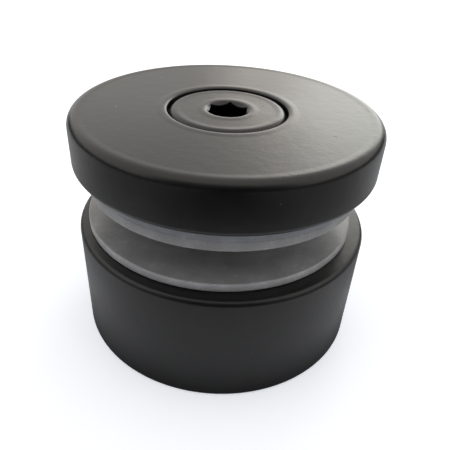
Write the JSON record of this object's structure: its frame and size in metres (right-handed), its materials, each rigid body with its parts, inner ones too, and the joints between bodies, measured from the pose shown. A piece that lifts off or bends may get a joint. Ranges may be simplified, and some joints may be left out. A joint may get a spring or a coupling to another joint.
{
  "type": "glass standoff",
  "caption": "Round point fixing that stands a drilled glass pane off a wall: threaded body, clear pads and bush, and a disc cap clamped by a countersunk socket screw.",
  "frame": {"origin": "centre of the body's round wall face, which is the bottom centre of the bounding box", "axes": "+Z runs along the screw's axis away from the wall, from the body through the glass to the cap; X and Y are any two level directions, and the screw's socket has a corner at 24 degrees from +X"},
  "size_m": [0.05, 0.05, 0.0391],
  "materials": {
    "coated_metal": "satin black coating with a fine orange peel",
    "screw_metal": "satin black coated screw",
    "clear_pad": "frosted clear soft plastic",
    "spacer_pad": "frosted clear soft plastic with a blue cast",
    "clear_bush": "clear plastic"
  },
  "bodies": {
    "body": {"standoff_body": "coated_metal", "lower_pad": "clear_pad", "glass_bush": "clear_bush"},
    "upper_pads": {"upper_pad": "clear_pad", "spacer_pad": "spacer_pad"},
    "cap": {"clamp_cap": "coated_metal"},
    "screw": {"clamp_screw": "screw_metal"}
  },
  "joints": [
    {"name": "cap_lift", "type": "slide", "parent": "body", "child": "upper_pads", "axis": [0, 0, 1], "range_m": [0, 0.0105]},
    {"name": "screw_turn", "type": "hinge", "parent": "upper_pads", "child": "screw", "pos_m": [0, 0, 0.035], "axis": [0, 0, 1], "range_deg": [0, 2520]},
    {"name": "cap_turn", "type": "hinge", "parent": "upper_pads", "child": "cap", "pos_m": [0, 0, 0.035], "axis": [0, 0, 1], "continuous": true}
  ],
  "couplings": [
    {"joint": "screw_turn", "follows": "cap_lift", "rad_per_m": 4188.8}
  ]
}
